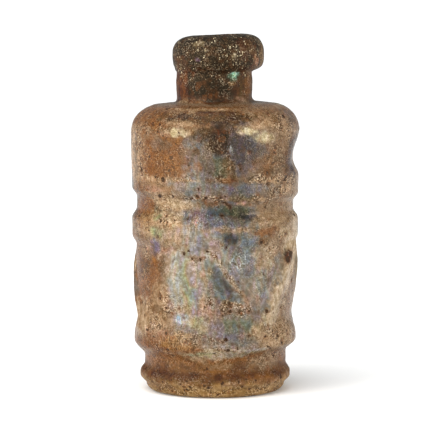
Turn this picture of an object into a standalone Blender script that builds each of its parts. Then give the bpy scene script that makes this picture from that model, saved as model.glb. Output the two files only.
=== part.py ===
"""An ancient mould-blown glass perfume bottle, as one hollow piece of glass.

The bottle is a turned vessel: a profile runs from the middle of the inner floor up the inner wall,
over the rolled rim, down the outer wall and in along the flat underside. The turned shape is then
moulded: a zigzag of ridges goes round between two ribs, one side of the upper wall is dented,
and the rim sits a little off the neck.

Sizes are in millimetres and angles in degrees. The bottle stands on the XY plane with its axis on Z,
and its front faces -Y.
"""

from collections import namedtuple
from math import atan2, cos, hypot, pi, radians, sin

import bmesh
import bpy
from mathutils import Vector

MM = 0.001

# A stretch of the wall, from its top down to its bottom, with a radius at each end.
# rows is the number of rows of faces along it.
Band = namedtuple("Band", "top bottom top_radius bottom_radius rows")

# A dent in the wall: where it is, how far it reaches each way, and how deep it is.
Dent = namedtuple("Dent", "turn height half_turn above below depth")

# A height at which the wall's bands lie askew, how far up and down that goes, and how steeply they rise to +X.
Slant = namedtuple("Slant", "height reach slope")

# Rolled rim
HEIGHT = 85.1
RIM_RADIUS = 10.95
RIM_ROUNDING = 5.0
RIM_WIDEST = 80.3
RIM_FOOT = 76.1
RIM_UPPER_FULLNESS = 2.5
RIM_LOWER_FULLNESS = 3.0
RIM_SHIFT = 0.72
RIM_LEAN = 0.02
MOUTH_RADIUS = 5.4
MOUTH_BOTTOM = 81.5

# Neck
NECK_RADIUS = 9.0
NECK_SHIFT = -0.22
SHIFT_RISE = 1.6
NECK_SWELLING = 0.15
NECK_SWELLING_HEIGHT = 74.0
NECK_BOTTOM = 70.3
NECK_FILLET = 1.2
NECK_BORE = 6.8

# Shoulder
SHOULDER_EDGE = 13.2
SHOULDER_HEIGHT = 68.75
CORNER_HEIGHT = 6.6
SHOULDER_LEAN = 0.013

# Outer wall, from the top down
UPPER_WALL = Band(62.15, 53.2, 20.25, 20.05, 4)
RIB_1 = Band(51.8, 48.3, 20.0, 19.95, 1)
GROOVE_1 = Band(46.1, 43.9, 18.75, 18.7, 1)
RIB_2 = Band(41.4, 37.6, 19.9, 19.9, 1)
FIELD = Band(35.0, 19.0, 18.6, 18.1, 7)
RIB_3 = Band(13.6, 12.3, 19.4, 19.45, 1)
GROOVE_2 = Band(8.9, 6.6, 17.0, 17.0, 1)
BASE_RIB = Band(4.3, 3.2, 18.05, 18.0, 1)
OUTER_BANDS = (UPPER_WALL, RIB_1, GROOVE_1, RIB_2, FIELD, RIB_3, GROOVE_2, BASE_RIB)
HEEL_RADIUS = 16.6
HEEL_ROUNDING = 1.8

# Inner wall, which follows the ribs and grooves with only a share of their depth
WALL = 1.8
INNER_SHARE = 0.65
FLOOR = 3.4
FLOOR_ROUNDING = 2.4

# Zigzag of ridges: it goes down from each top to the feet beside it
ZIGZAG_TOPS = (-9.0, 72.0, 162.0, 242.0)
ZIGZAG_FEET = (34.0, 114.0, 204.0, 295.0)
ZIGZAG_UPPER = RIB_2.bottom
ZIGZAG_LOWER = 17.0
ZIGZAG_FADE = 2.5
CREST = 1.35
NARROW_FLANK = 2.4
BROAD_FLANK = 5.6
HANGING_FIELD = (0.2, 0.8)
STANDING_FIELD = (0.8, 0.0)

SIDE_DENT = Dent(86.0, 55.4, 32.0, 8.0, 3.8, 1.8)
SLANTS = (Slant(47.5, 4.5, -0.03), Slant(9.5, 4.5, 0.03))

# Fineness of the turned shape: each arm of the zigzag spans ARM_COLUMNS columns of faces
ARMS = len(ZIGZAG_TOPS) + len(ZIGZAG_FEET)
ARM_COLUMNS = 8
TURN_STEPS = ARMS * ARM_COLUMNS

GLASS_COLOUR = (0.42, 0.27, 0.14, 1.0)
GLASS_ROUGHNESS = 0.35
GLASS_TRANSMISSION = 0.4
WELD = 0.01 * MM
SHARP_ANGLE = 40.0


def clear_scene():
    """Remove every object, such as the ones a new file starts with."""
    for thing in list(bpy.data.objects):
        bpy.data.objects.remove(thing, do_unlink=True)


def smooth(share):
    """Go from 0 to 1 with a level start and end."""
    share = min(max(share, 0.0), 1.0)
    return (1.0 - cos(pi * share)) / 2.0


def arc(middle, half_width, half_height, start, end, rows):
    """Points of an ellipse's arc from one angle to the other, both ends included."""
    points = []
    for row in range(rows + 1):
        angle = radians(start + (end - start) * row / rows)
        radius = middle[0] + half_width * cos(angle)
        height = middle[1] + half_height * sin(angle)
        points.append((radius, height))
    return points


def swell(start, end, rows):
    """Points between two others, along a curve that leaves and arrives upright."""
    points = []
    for row in range(1, rows):
        share = row / rows
        radius = start[0] + (end[0] - start[0]) * smooth(share)
        height = start[1] + (end[1] - start[1]) * share
        points.append((radius, height))
    return points


def band_points(band):
    """Points down a stretch of wall, both ends included."""
    points = []
    for row in range(band.rows + 1):
        share = row / band.rows
        radius = band.top_radius + (band.bottom_radius - band.top_radius) * share
        height = band.top + (band.bottom - band.top) * share
        points.append((radius, height))
    return points


def bulge_edge(share, fullness):
    """Half width of a rounded lump at a share of its half height, as a share of the widest."""
    return (1.0 - share**fullness) ** (1.0 / fullness)


def rim_points():
    """The rolled rim, from the mouth's lip over the top and down to the neck."""
    middle = RIM_RADIUS - RIM_ROUNDING
    lip_width = middle - MOUTH_RADIUS
    lip_height = HEIGHT - MOUTH_BOTTOM
    points = arc((middle, MOUTH_BOTTOM), -lip_width, lip_height, 0.0, 60.0, 2)
    for share in (1.0, 0.93, 0.76, 0.45, 0.0):
        height = RIM_WIDEST + (HEIGHT - RIM_WIDEST) * share
        points.append((middle + RIM_ROUNDING * bulge_edge(share, RIM_UPPER_FULLNESS), height))
    for share in (0.4, 0.7, 0.9):
        height = RIM_WIDEST - (RIM_WIDEST - RIM_FOOT) * share
        points.append((middle + RIM_ROUNDING * bulge_edge(share, RIM_LOWER_FULLNESS), height))
    return points


def neck_points():
    """The neck, with its slight swelling, and the hollow curve into the shoulder."""
    points = [(NECK_RADIUS, RIM_FOOT - 0.3)]
    points.append((NECK_RADIUS + NECK_SWELLING, NECK_SWELLING_HEIGHT))
    fillet_middle = (NECK_RADIUS + NECK_FILLET, NECK_BOTTOM)
    points += arc(fillet_middle, NECK_FILLET, NECK_FILLET, 180.0, 255.0, 3)
    return points


def shoulder_points():
    """The shoulder's rounded corner, down to the upper wall."""
    middle = (SHOULDER_EDGE, SHOULDER_HEIGHT - CORNER_HEIGHT)
    return arc(middle, UPPER_WALL.top_radius - SHOULDER_EDGE, CORNER_HEIGHT, 88.0, 0.0, 5)[:-1]


def outer_wall_points():
    """The outer wall: each rib or groove in turn, and a soft curve from each to the next."""
    points = []
    for band, following in zip(OUTER_BANDS, OUTER_BANDS[1:]):
        points += band_points(band)
        rows = 1 if band is UPPER_WALL else 3
        start = (band.bottom_radius, band.bottom)
        points += swell(start, (following.top_radius, following.top), rows)
    return points + band_points(OUTER_BANDS[-1])


def heel_points():
    """The heel's rounded edge and the middle of the flat underside."""
    middle = (HEEL_RADIUS - HEEL_ROUNDING, HEEL_ROUNDING)
    return arc(middle, HEEL_ROUNDING, HEEL_ROUNDING, 0.0, -90.0, 3) + [(0.0, 0.0)]


def inner_points():
    """The inner surface, from the middle of the floor up to the mouth."""
    floor_middle = (GROOVE_2.top_radius - WALL - FLOOR_ROUNDING, FLOOR + FLOOR_ROUNDING)
    points = [(0.0, FLOOR)]
    points += arc(floor_middle, FLOOR_ROUNDING, FLOOR_ROUNDING, -90.0, 0.0, 3)
    inner_bands = (GROOVE_2, RIB_3, FIELD, RIB_2, GROOVE_1, RIB_1)
    for band in inner_bands:
        if band is FIELD:
            points.append((band.bottom_radius - WALL, band.bottom))
            points.append((band.top_radius - WALL, band.top))
        else:
            points.append((softened_radius(band) - WALL, (band.top + band.bottom) / 2.0))
    corner_middle = (SHOULDER_EDGE, SHOULDER_HEIGHT - CORNER_HEIGHT)
    corner_width = UPPER_WALL.top_radius - SHOULDER_EDGE - WALL
    points += arc(corner_middle, corner_width, CORNER_HEIGHT - WALL, 0.0, 90.0, 3)
    points.append((NECK_BORE + NECK_FILLET, NECK_BOTTOM - NECK_FILLET - WALL))
    points.append((NECK_BORE, NECK_BOTTOM))
    points.append((NECK_BORE, RIM_FOOT))
    return points


def softened_radius(band):
    """A rib's or groove's radius as the inner wall follows it, nearer to that of the field."""
    field_radius = (FIELD.top_radius + FIELD.bottom_radius) / 2.0
    return field_radius + (band.top_radius - field_radius) * INNER_SHARE


def profile_points():
    """The whole profile: up the inside, over the rim and down the outside."""
    points = inner_points() + rim_points() + neck_points() + shoulder_points()
    return points + outer_wall_points() + heel_points()


def turned_mesh(name):
    """Turn the profile about Z and return the closed mesh."""
    points = [Vector((radius * MM, 0.0, height * MM)) for radius, height in profile_points()]
    edges = [(index, index + 1) for index in range(len(points) - 1)]
    profile = bpy.data.meshes.new(name + "_profile")
    profile.from_pydata(points, edges, [])
    turned = bpy.data.objects.new(name + "_turned", profile)
    bpy.context.scene.collection.objects.link(turned)
    screw = turned.modifiers.new("Turn", "SCREW")
    screw.axis = "Z"
    screw.steps = TURN_STEPS
    screw.render_steps = TURN_STEPS
    screw.use_merge_vertices = True
    screw.merge_threshold = WELD
    depsgraph = bpy.context.evaluated_depsgraph_get()
    mesh = bpy.data.meshes.new_from_object(turned.evaluated_get(depsgraph))
    mesh.name = name
    bpy.data.objects.remove(turned, do_unlink=True)
    bpy.data.meshes.remove(profile)
    return mesh


def zigzag_turns():
    """Directions of the zigzag's tops and feet by turns, once round and back to the first top."""
    turns = []
    for top, foot in zip(ZIGZAG_TOPS, ZIGZAG_FEET):
        turns += [top, foot]
    return turns + [ZIGZAG_TOPS[0] + 360.0]


def column_turn(arm_place):
    """Direction of a column of faces, from its place counted in arms of the zigzag."""
    turns = zigzag_turns()
    arm = min(int(arm_place), ARMS - 1)
    return turns[arm] + (turns[arm + 1] - turns[arm]) * (arm_place - arm)


def zigzag_stand_out(arm_place, height):
    """How far the zigzag and the fields between its arms stand out of the turned wall."""
    drop = (ZIGZAG_UPPER - height) / (ZIGZAG_UPPER - ZIGZAG_LOWER)
    fade = smooth((ZIGZAG_UPPER - height) / ZIGZAG_FADE)
    fade *= smooth((height - RIB_3.top) / (ZIGZAG_LOWER - RIB_3.top))
    if fade == 0.0:
        return 0.0
    drop = min(drop, 1.0)
    from_top = abs(arm_place - 2.0 * round(arm_place / 2.0))
    arm_width = radians(360.0 / ARMS) * FIELD.top_radius
    beside = (from_top - drop) * arm_width
    if beside > 0.0:
        level = HANGING_FIELD[0] + (HANGING_FIELD[1] - HANGING_FIELD[0]) * drop
        share = beside / NARROW_FLANK
    else:
        level = STANDING_FIELD[0] + (STANDING_FIELD[1] - STANDING_FIELD[0]) * drop
        share = -beside / BROAD_FLANK
    return fade * (CREST + (level - CREST) * min(share, 1.0))


def dent_depth(dent, turn, height):
    """How far a dent pushes a point of the wall in."""
    across = (turn - dent.turn) / dent.half_turn
    reach = dent.above if height > dent.height else dent.below
    away = hypot(across, (height - dent.height) / reach)
    return dent.depth * (1.0 - smooth(away))


def sideways(height):
    """How far the neck and the rim sit to one side."""
    neck = NECK_SHIFT * smooth((height - SHOULDER_HEIGHT) / SHIFT_RISE)
    return neck + (RIM_SHIFT - NECK_SHIFT) * smooth((height - RIM_FOOT) / SHIFT_RISE)


def steepness(height):
    """How steeply the bottle's bands rise towards +X at a height."""
    slope = SHOULDER_LEAN * smooth((height - UPPER_WALL.bottom) / (SHOULDER_HEIGHT - UPPER_WALL.bottom))
    slope += RIM_LEAN * smooth((height - RIM_WIDEST) / (HEIGHT - RIM_WIDEST))
    for slant in SLANTS:
        slope += slant.slope * smooth(1.0 - abs(height - slant.height) / slant.reach)
    return slope


def mould(shape):
    """Press the zigzag and the dent into the turned wall, and set it askew where the bottle is."""
    for vertex in shape.verts:
        radius = hypot(vertex.co.x, vertex.co.y) / MM
        height = vertex.co.z / MM
        if radius < MOUTH_RADIUS / 2.0:
            continue
        column = round(TURN_STEPS * atan2(vertex.co.x, -vertex.co.y) / (2.0 * pi)) % TURN_STEPS
        arm_place = column / ARM_COLUMNS
        turn = column_turn(arm_place)
        if radius > FIELD.bottom_radius - WALL / 2.0 and height < UPPER_WALL.top:
            radius += zigzag_stand_out(arm_place, height)
            radius -= dent_depth(SIDE_DENT, turn, height)
        across = radius * sin(radians(turn))
        vertex.co.x = (across + sideways(height)) * MM
        vertex.co.y = -radius * cos(radians(turn)) * MM
        vertex.co.z = (height + steepness(height) * across) * MM


def split_along_crests(shape):
    """Split each four-sided face along the diagonal whose ends stand out most alike."""
    for face in list(shape.faces):
        if len(face.verts) != 4:
            continue
        first, second, third, fourth = face.verts
        one_way = abs(first.co.xy.length - third.co.xy.length)
        other_way = abs(second.co.xy.length - fourth.co.xy.length)
        if one_way < other_way - WELD:
            bmesh.utils.face_split(face, first, third)
        else:
            bmesh.utils.face_split(face, second, fourth)


def glass():
    """Weathered brown glass."""
    material = bpy.data.materials.new("weathered_glass")
    material.use_nodes = True
    shader = material.node_tree.nodes["Principled BSDF"]
    shader.inputs["Base Color"].default_value = GLASS_COLOUR
    shader.inputs["Roughness"].default_value = GLASS_ROUGHNESS
    shader.inputs["Metallic"].default_value = 0.0
    shader.inputs["Transmission Weight"].default_value = GLASS_TRANSMISSION
    return material


def bottle(collection):
    """The whole bottle: turned, moulded, and split into triangles along the crests."""
    mesh = turned_mesh("bottle")
    shape = bmesh.new()
    shape.from_mesh(mesh)
    mould(shape)
    split_along_crests(shape)
    shape.to_mesh(mesh)
    shape.free()
    mesh.shade_smooth()
    mesh.set_sharp_from_angle(angle=radians(SHARP_ANGLE))
    mesh.materials.append(glass())
    piece = bpy.data.objects.new("bottle", mesh)
    collection.objects.link(piece)
    return piece


def main():
    clear_scene()
    collection = bpy.data.collections.new("perfume_bottle")
    bpy.context.scene.collection.children.link(collection)
    bottle(collection)


main()
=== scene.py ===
"""The looks of an ancient mould-blown glass perfume bottle, on a pale floor in soft studio light.

The glass is rebuilt finely over the frame's own bottle: the same turned and moulded shape, with the waves,
pits and crumbled skin of old glass. Each of its points then carries its colour, and its shares of iridescent
film, pale flecks, painted glints, rust, pits, crust and clearness, which the material turns into a surface.
Some of the stains are painted highlights and painted shade.

Sizes are in millimetres and angles in degrees. A turn is measured round the bottle's axis, from the front
(-Y) towards +X. The bottle stands on the XY plane.
"""

from collections import namedtuple

import bpy
import numpy as np
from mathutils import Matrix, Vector, noise


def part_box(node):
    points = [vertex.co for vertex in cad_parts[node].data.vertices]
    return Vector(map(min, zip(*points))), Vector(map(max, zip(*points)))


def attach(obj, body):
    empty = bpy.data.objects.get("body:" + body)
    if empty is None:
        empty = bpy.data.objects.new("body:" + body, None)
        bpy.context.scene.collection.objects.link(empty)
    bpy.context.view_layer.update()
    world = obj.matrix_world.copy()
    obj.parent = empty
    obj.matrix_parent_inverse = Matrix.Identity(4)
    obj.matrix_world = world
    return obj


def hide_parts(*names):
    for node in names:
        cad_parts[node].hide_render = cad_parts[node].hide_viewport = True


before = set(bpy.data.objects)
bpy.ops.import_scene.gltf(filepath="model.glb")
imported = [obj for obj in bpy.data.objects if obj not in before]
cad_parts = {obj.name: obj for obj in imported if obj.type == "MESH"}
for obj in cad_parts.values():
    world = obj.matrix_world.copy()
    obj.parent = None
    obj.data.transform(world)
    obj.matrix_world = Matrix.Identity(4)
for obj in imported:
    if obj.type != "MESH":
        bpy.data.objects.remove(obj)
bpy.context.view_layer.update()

BOTTLE_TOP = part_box("bottle")[1].z
MM = 0.001

# ----- Shape -----

Band = namedtuple("Band", "top bottom top_radius bottom_radius")
Dent = namedtuple("Dent", "turn height half_turn above below depth")
Slant = namedtuple("Slant", "height reach slope")

# Rolled rim
HEIGHT = 85.1
RIM_RADIUS = 10.95
RIM_ROUNDING = 5.0
RIM_WIDEST = 80.3
RIM_FOOT = 76.1
RIM_UPPER_FULLNESS = 2.5
RIM_LOWER_FULLNESS = 3.0
RIM_SHIFT = 0.72
RIM_LEAN = 0.02
MOUTH_RADIUS = 5.4
MOUTH_BOTTOM = 81.5

# Neck
NECK_RADIUS = 9.0
NECK_SHIFT = -0.22
SHIFT_RISE = 1.6
NECK_SWELLING = 0.15
NECK_SWELLING_HEIGHT = 74.0
NECK_BOTTOM = 70.3
NECK_FILLET = 1.2
NECK_BORE = 6.8

# Shoulder
SHOULDER_EDGE = 13.2
SHOULDER_HEIGHT = 68.75
CORNER_HEIGHT = 6.6
SHOULDER_LEAN = 0.013

# Outer wall, from the top down
UPPER_WALL = Band(62.15, 53.2, 20.25, 20.05)
RIB_1 = Band(51.8, 48.3, 20.0, 19.95)
GROOVE_1 = Band(46.1, 43.9, 18.75, 18.7)
RIB_2 = Band(41.4, 37.6, 19.9, 19.9)
FIELD = Band(35.0, 19.0, 18.6, 18.1)
RIB_3 = Band(13.6, 12.3, 19.4, 19.45)
GROOVE_2 = Band(8.9, 6.6, 17.0, 17.0)
BASE_RIB = Band(4.3, 3.2, 18.05, 18.0)
OUTER_BANDS = (UPPER_WALL, RIB_1, GROOVE_1, RIB_2, FIELD, RIB_3, GROOVE_2, BASE_RIB)
HEEL_RADIUS = 16.6
HEEL_ROUNDING = 1.8
FOOT_RADIUS = HEEL_RADIUS - HEEL_ROUNDING

# Inner wall
WALL = 1.8
INNER_SHARE = 0.65
FLOOR = 3.4
FLOOR_ROUNDING = 2.4

# Zigzag of ridges
ZIGZAG_TOPS = (-9.0, 72.0, 162.0, 242.0)
ZIGZAG_FEET = (34.0, 114.0, 204.0, 295.0)
ZIGZAG_UPPER = RIB_2.bottom
ZIGZAG_LOWER = 17.0
ZIGZAG_FADE = 2.5
CREST = 1.35
CREST_ROUNDING = 0.8
NARROW_FLANK = 2.4
BROAD_FLANK = 5.6
HANGING_FIELD = (0.2, 0.8)
STANDING_FIELD = (0.8, 0.0)
ARMS = len(ZIGZAG_TOPS) + len(ZIGZAG_FEET)
ARM_WIDTH = np.radians(360.0 / ARMS) * FIELD.top_radius

SIDE_DENT = Dent(86.0, 55.4, 32.0, 8.0, 3.8, 1.8)
SLANTS = (Slant(47.5, 4.5, -0.03), Slant(9.5, 4.5, 0.03))

# Fineness of the mesh
COLUMNS = 320
OUTER_SPACING = 0.45
INNER_SPACING = 1.8
UNDERSIDE_SPACING = 2.2
CURVE_POINTS = 24

INSIDE, OUTSIDE, UNDERSIDE = range(3)

Surface = namedtuple("Surface", "points turn height radius along side rows")


def smooth(share):
    """Go from 0 to 1 with a level start and end."""
    return (1.0 - np.cos(np.pi * np.clip(share, 0.0, 1.0))) / 2.0


def arc(middle, half_width, half_height, start, end):
    """Points of an ellipse's arc from one angle to the other."""
    angles = np.radians(np.linspace(start, end, CURVE_POINTS))
    across = middle[0] + half_width * np.cos(angles)
    upward = middle[1] + half_height * np.sin(angles)
    return np.column_stack((across, upward))


def swell(start, end):
    """Points between two others, along a curve that leaves and arrives upright."""
    share = np.linspace(0.0, 1.0, CURVE_POINTS)[1:-1]
    return np.column_stack((
        start[0] + (end[0] - start[0]) * smooth(share),
        start[1] + (end[1] - start[1]) * share,
    ))


def bulge(middle, from_height, to_height, fullness):
    """Points of a rounded lump, from its widest place to its end at to_height."""
    share = np.sin(np.linspace(0.0, np.pi / 2.0, CURVE_POINTS))
    edge = (1.0 - share**fullness) ** (1.0 / fullness)
    return np.column_stack((middle + RIM_ROUNDING * edge, from_height + (to_height - from_height) * share))


def lengths(path):
    """Distance of each of a path's points from its start."""
    return np.concatenate(([0.0], np.cumsum(np.hypot(*np.diff(path, axis=0).T))))


def resample(path, spacing):
    """The same path with evenly spaced points."""
    along = lengths(path)
    places = np.linspace(0.0, along[-1], int(round(along[-1] / spacing)) + 1)
    return np.column_stack((np.interp(places, along, path[:, 0]), np.interp(places, along, path[:, 1])))


def rim_path():
    """The rolled rim, from the mouth's lip over the top and down to the neck."""
    middle = RIM_RADIUS - RIM_ROUNDING
    lip = arc((middle, MOUTH_BOTTOM), MOUTH_RADIUS - middle, HEIGHT - MOUTH_BOTTOM, 0.0, 90.0)
    upper = bulge(middle, RIM_WIDEST, HEIGHT, RIM_UPPER_FULLNESS)[::-1]
    lower = bulge(middle, RIM_WIDEST, RIM_FOOT, RIM_LOWER_FULLNESS)
    lower = lower[lower[:, 0] > NECK_RADIUS]
    return np.vstack((lip, upper[1:], lower[1:]))


def neck_path():
    """The neck, with its slight swelling, and the hollow curve into the shoulder."""
    top = (NECK_RADIUS, RIM_FOOT)
    swelling = (NECK_RADIUS + NECK_SWELLING, NECK_SWELLING_HEIGHT)
    bottom = (NECK_RADIUS, NECK_BOTTOM)
    fillet = arc((NECK_RADIUS + NECK_FILLET, NECK_BOTTOM), NECK_FILLET, NECK_FILLET, 180.0, 255.0)
    return np.vstack(([top], swell(top, swelling), [swelling], swell(swelling, bottom), fillet))


def shoulder_path():
    """The shoulder's rounded corner, down to the upper wall."""
    middle = (SHOULDER_EDGE, SHOULDER_HEIGHT - CORNER_HEIGHT)
    return arc(middle, UPPER_WALL.top_radius - SHOULDER_EDGE, CORNER_HEIGHT, 88.0, 0.0)


def wall_path():
    """The outer wall: each rib or groove in turn, and a soft curve from each to the next."""
    pieces = []
    for band, following in zip(OUTER_BANDS, OUTER_BANDS[1:]):
        end = (band.bottom_radius, band.bottom)
        pieces.append([(band.top_radius, band.top), end])
        pieces.append(swell(end, (following.top_radius, following.top)))
    pieces.append([(BASE_RIB.top_radius, BASE_RIB.top), (BASE_RIB.bottom_radius, BASE_RIB.bottom)])
    heel_middle = (FOOT_RADIUS, HEEL_ROUNDING)
    pieces.append(arc(heel_middle, HEEL_ROUNDING, HEEL_ROUNDING, 0.0, -90.0))
    return np.vstack(pieces)


def softened_radius(band):
    """A rib's or groove's radius as the inner wall follows it, nearer to that of the field."""
    field_radius = (FIELD.top_radius + FIELD.bottom_radius) / 2.0
    return field_radius + (band.top_radius - field_radius) * INNER_SHARE


def inner_path():
    """The inner surface, from beside the middle of the floor up to the mouth."""
    floor_middle = (GROOVE_2.top_radius - WALL - FLOOR_ROUNDING, FLOOR + FLOOR_ROUNDING)
    stations = []
    for band in (GROOVE_2, RIB_3, FIELD, RIB_2, GROOVE_1, RIB_1):
        if band is FIELD:
            stations += [(band.bottom_radius - WALL, band.bottom), (band.top_radius - WALL, band.top)]
        else:
            stations.append((softened_radius(band) - WALL, (band.top + band.bottom) / 2.0))
    pieces = [[(INNER_SPACING, FLOOR)], arc(floor_middle, FLOOR_ROUNDING, FLOOR_ROUNDING, -90.0, 0.0)]
    for start, end in zip(stations, stations[1:]):
        pieces += [[start], swell(start, end)]
    pieces.append([stations[-1]])
    corner_middle = (SHOULDER_EDGE, SHOULDER_HEIGHT - CORNER_HEIGHT)
    corner_width = UPPER_WALL.top_radius - SHOULDER_EDGE - WALL
    pieces.append(arc(corner_middle, corner_width, CORNER_HEIGHT - WALL, 0.0, 90.0))
    neck_foot = NECK_BOTTOM - NECK_FILLET - WALL
    pieces.append([(NECK_BORE + NECK_FILLET, neck_foot), (NECK_BORE, NECK_BOTTOM), (NECK_BORE, RIM_FOOT)])
    pieces.append([(MOUTH_RADIUS, MOUTH_BOTTOM)])
    return np.vstack(pieces)


def arm_place(turn):
    """Where a turn lies, counted in arms of the zigzag from the first top."""
    turns = np.ravel(np.column_stack((ZIGZAG_TOPS, ZIGZAG_FEET)))
    turns = np.append(turns, turns[0] + 360.0)
    return np.interp((turn - turns[0]) % 360.0 + turns[0], turns, np.arange(ARMS + 1))


def beside_crest(turn, height):
    """Distance from the nearest crest, over 0 in a hanging triangle, and the share of the drop."""
    drop = np.clip((ZIGZAG_UPPER - height) / (ZIGZAG_UPPER - ZIGZAG_LOWER), 0.0, 1.0)
    place = arm_place(turn)
    from_top = np.abs(place - 2.0 * np.round(place / 2.0))
    return (from_top - drop) * ARM_WIDTH, drop


def zigzag_share(height):
    """How fully the zigzag stands at a height: it dies away into the ribs above and below."""
    fade = smooth((ZIGZAG_UPPER - height) / ZIGZAG_FADE)
    return fade * smooth((height - RIB_3.top) / (ZIGZAG_LOWER - RIB_3.top))


def zigzag(turn, height):
    """How far the zigzag and the fields between its arms stand out of the turned wall."""
    beside, drop = beside_crest(turn, height)
    hanging = beside > 0.0
    top_level, foot_level = (np.where(hanging, *levels) for levels in zip(HANGING_FIELD, STANDING_FIELD))
    level = top_level + (foot_level - top_level) * drop
    rounded = np.hypot(beside, CREST_ROUNDING) - CREST_ROUNDING
    share = rounded / np.where(hanging, NARROW_FLANK, BROAD_FLANK)
    return zigzag_share(height) * (CREST + (level - CREST) * np.clip(share, 0.0, 1.0))


def dent_depth(dent, turn, height):
    """How far a dent pushes the wall in."""
    across = ((turn - dent.turn + 180.0) % 360.0 - 180.0) / dent.half_turn
    reach = np.where(height > dent.height, dent.above, dent.below)
    return dent.depth * (1.0 - smooth(np.hypot(across, (height - dent.height) / reach)))


def sideways(height):
    """How far the neck and the rim sit to one side."""
    neck = NECK_SHIFT * smooth((height - SHOULDER_HEIGHT) / SHIFT_RISE)
    return neck + (RIM_SHIFT - NECK_SHIFT) * smooth((height - RIM_FOOT) / SHIFT_RISE)


def steepness(height):
    """How steeply the bottle's bands rise towards +X at a height."""
    slope = SHOULDER_LEAN * smooth((height - UPPER_WALL.bottom) / (SHOULDER_HEIGHT - UPPER_WALL.bottom))
    slope = slope + RIM_LEAN * smooth((height - RIM_WIDEST) / (HEIGHT - RIM_WIDEST))
    for slant in SLANTS:
        slope = slope + slant.slope * smooth(1.0 - np.abs(height - slant.height) / slant.reach)
    return slope


def moulded_surface():
    """Every point of the grid: rows from the floor up the inside and down the outside, then two poles."""
    outer = resample(np.vstack((rim_path(), neck_path(), shoulder_path(), wall_path())), OUTER_SPACING)
    inner = resample(inner_path(), INNER_SPACING)[:-1]
    under = resample(np.array([(FOOT_RADIUS, 0.0), (UNDERSIDE_SPACING, 0.0)]), UNDERSIDE_SPACING)
    rows = np.vstack((inner, outer, under[1:]))
    row_side = np.repeat((INSIDE, OUTSIDE, UNDERSIDE), (len(inner), len(outer), len(under) - 1))
    row_along = np.zeros(len(rows))
    row_along[row_side == OUTSIDE] = lengths(outer)
    turn = np.tile(np.linspace(0.0, 360.0, COLUMNS, endpoint=False), len(rows))
    of_rows = (rows[:, 0], rows[:, 1], row_along, row_side)
    radius, height, along, side = (np.repeat(values, COLUMNS) for values in of_rows)

    moulded = (side == OUTSIDE) & (height < UPPER_WALL.top)
    wall = radius + np.where(moulded, zigzag(turn, height) - dent_depth(SIDE_DENT, turn, height), 0.0)
    across = wall * np.sin(np.radians(turn))
    toward_front = wall * np.cos(np.radians(turn))
    points = np.column_stack((across + sideways(height), -toward_front, height + steepness(height) * across))

    poles = np.array(((0.0, 0.0, FLOOR), (0.0, 0.0, 0.0)))
    return Surface(
        np.vstack((points, poles)),
        np.append(turn, (0.0, 0.0)),
        np.append(height, poles[:, 2]),
        np.append(radius, (0.0, 0.0)),
        np.append(along, (0.0, 0.0)),
        np.append(side, (INSIDE, UNDERSIDE)),
        len(rows),
    )


def outward(surface):
    """Unit normals of the surface's points."""
    grid = surface.points[:-2].reshape(surface.rows, COLUMNS, 3)
    along_row = np.roll(grid, -1, axis=1) - np.roll(grid, 1, axis=1)
    across_rows = np.gradient(grid, axis=0)
    normals = np.cross(across_rows, along_row).reshape(-1, 3)
    normals /= np.linalg.norm(normals, axis=1)[:, None]
    return np.vstack((normals, (0.0, 0.0, 1.0), (0.0, 0.0, -1.0)))


def grid_faces(rows):
    """Quads between the rows of the grid, and a fan at each pole."""
    row, column = np.meshgrid(np.arange(rows - 1), np.arange(COLUMNS), indexing="ij")
    beside = (column + 1) % COLUMNS
    corners = (
        row * COLUMNS + column,
        (row + 1) * COLUMNS + column,
        (row + 1) * COLUMNS + beside,
        row * COLUMNS + beside,
    )
    faces = np.stack(corners, axis=-1).reshape(-1, 4).tolist()
    floor_pole = rows * COLUMNS
    last = (rows - 1) * COLUMNS
    for start in range(COLUMNS):
        after = (start + 1) % COLUMNS
        faces.append((floor_pole, start, after))
        faces.append((floor_pole + 1, last + after, last + start))
    return faces


# ----- Old age -----

Colour = namedtuple("Colour", "code film flecks rust")
Stain = namedtuple("Stain", "turn height wide tall colour strength tilt", defaults=(0.0,))
Pit = namedtuple("Pit", "turn height radius depth")
Bump = namedtuple("Bump", "turn height wide tall rise tilt", defaults=(0.0,))
Gleam = namedtuple("Gleam", "turn height wide tall amount tilt", defaults=(0.0,))
Edge = namedtuple("Edge", "ragged sway rise softness")
SMOOTH_EDGE = Edge(0.0, 0.0, 0.0, 0.8)


def table(kind, *rows):
    """Stains, bumps, gleams or pits, each from a row of its fields in order."""
    return tuple(kind(*row) for row in rows)


# Soil and crust. Some cream, sand and ivory marks paint highlights and glints, some bistre and umber shade
BISTRE = Colour("2c1b08", 0, 0.11, 0.2)
UMBER = Colour("50351b", 0, 0.08, 0.5)
RUST = Colour("895930", 0, 0.18, 1)
ORANGE = Colour("b06c2e", 0, 0.2, 0.6)
OLIVE = Colour("584424", 0, 0.2, 0.6)
CRUMBS = Colour("a98c6f", 0, 1, 0.4)
SAND = Colour("cca984", 0, 0.35, 0.3)
CREAM = Colour("ead9b4", 0.3, 0.12, 0)
IVORY = Colour("dcc4a4", 0.1, 0.08, 0.1)

# Glass, from clear to darkened
AMBER = Colour("bb945e", 0, 0.32, 0.3)
FAWN = Colour("c4a98a", 0.1, 0.05, 0.1)
TAN = Colour("ba9c7a", 0.1, 0.15, 0.3)
BUFF = Colour("9f856a", 0, 0.16, 0.5)
TAUPE = Colour("80766e", 0.4, 0.05, 0.2)
PLUM = Colour("56525a", 0.7, 0.05, 0.1)

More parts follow.
